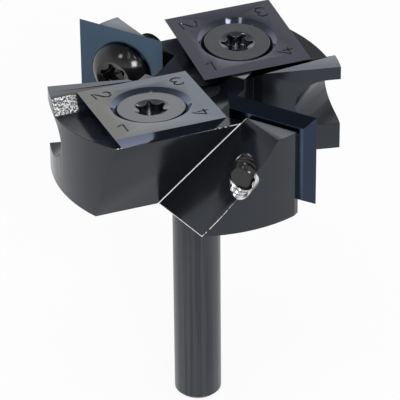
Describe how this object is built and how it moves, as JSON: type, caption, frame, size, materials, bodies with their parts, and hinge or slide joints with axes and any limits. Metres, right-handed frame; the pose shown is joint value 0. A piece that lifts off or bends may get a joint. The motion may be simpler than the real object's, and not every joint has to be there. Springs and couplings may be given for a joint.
{
  "type": "indexable end mill",
  "caption": "Wing cutter head on a round shank, with square inserts screwed almost flat on one pair of wings and on edge on the other pair.",
  "frame": {"origin": "centre of the shank's free end", "axes": "+Z along the shank towards the cutting face; +X and +Y lie in the plane of the cutting face, with the flat wings' leading edges about 21 degrees from X"},
  "size_m": [0.0356, 0.0358, 0.0479],
  "materials": {
    "body_steel": "black oxide over milled steel, satin",
    "flat_insert_carbide": "ground carbide, dark grey with a faint violet tint, satin",
    "side_insert_carbide": "ground carbide, blue-grey, satin",
    "screw_steel": "black oxide, glossy on the head"
  },
  "bodies": {
    "root": {"cutter_body": "body_steel", "flat_insert_1": "flat_insert_carbide", "flat_insert_2": "flat_insert_carbide", "side_insert_1": "side_insert_carbide", "side_insert_2": "side_insert_carbide", "flat_insert_screw_1": "screw_steel", "flat_insert_screw_2": "screw_steel", "side_insert_screw_1": "screw_steel", "side_insert_screw_2": "screw_steel"}
  },
  "joints": []
}
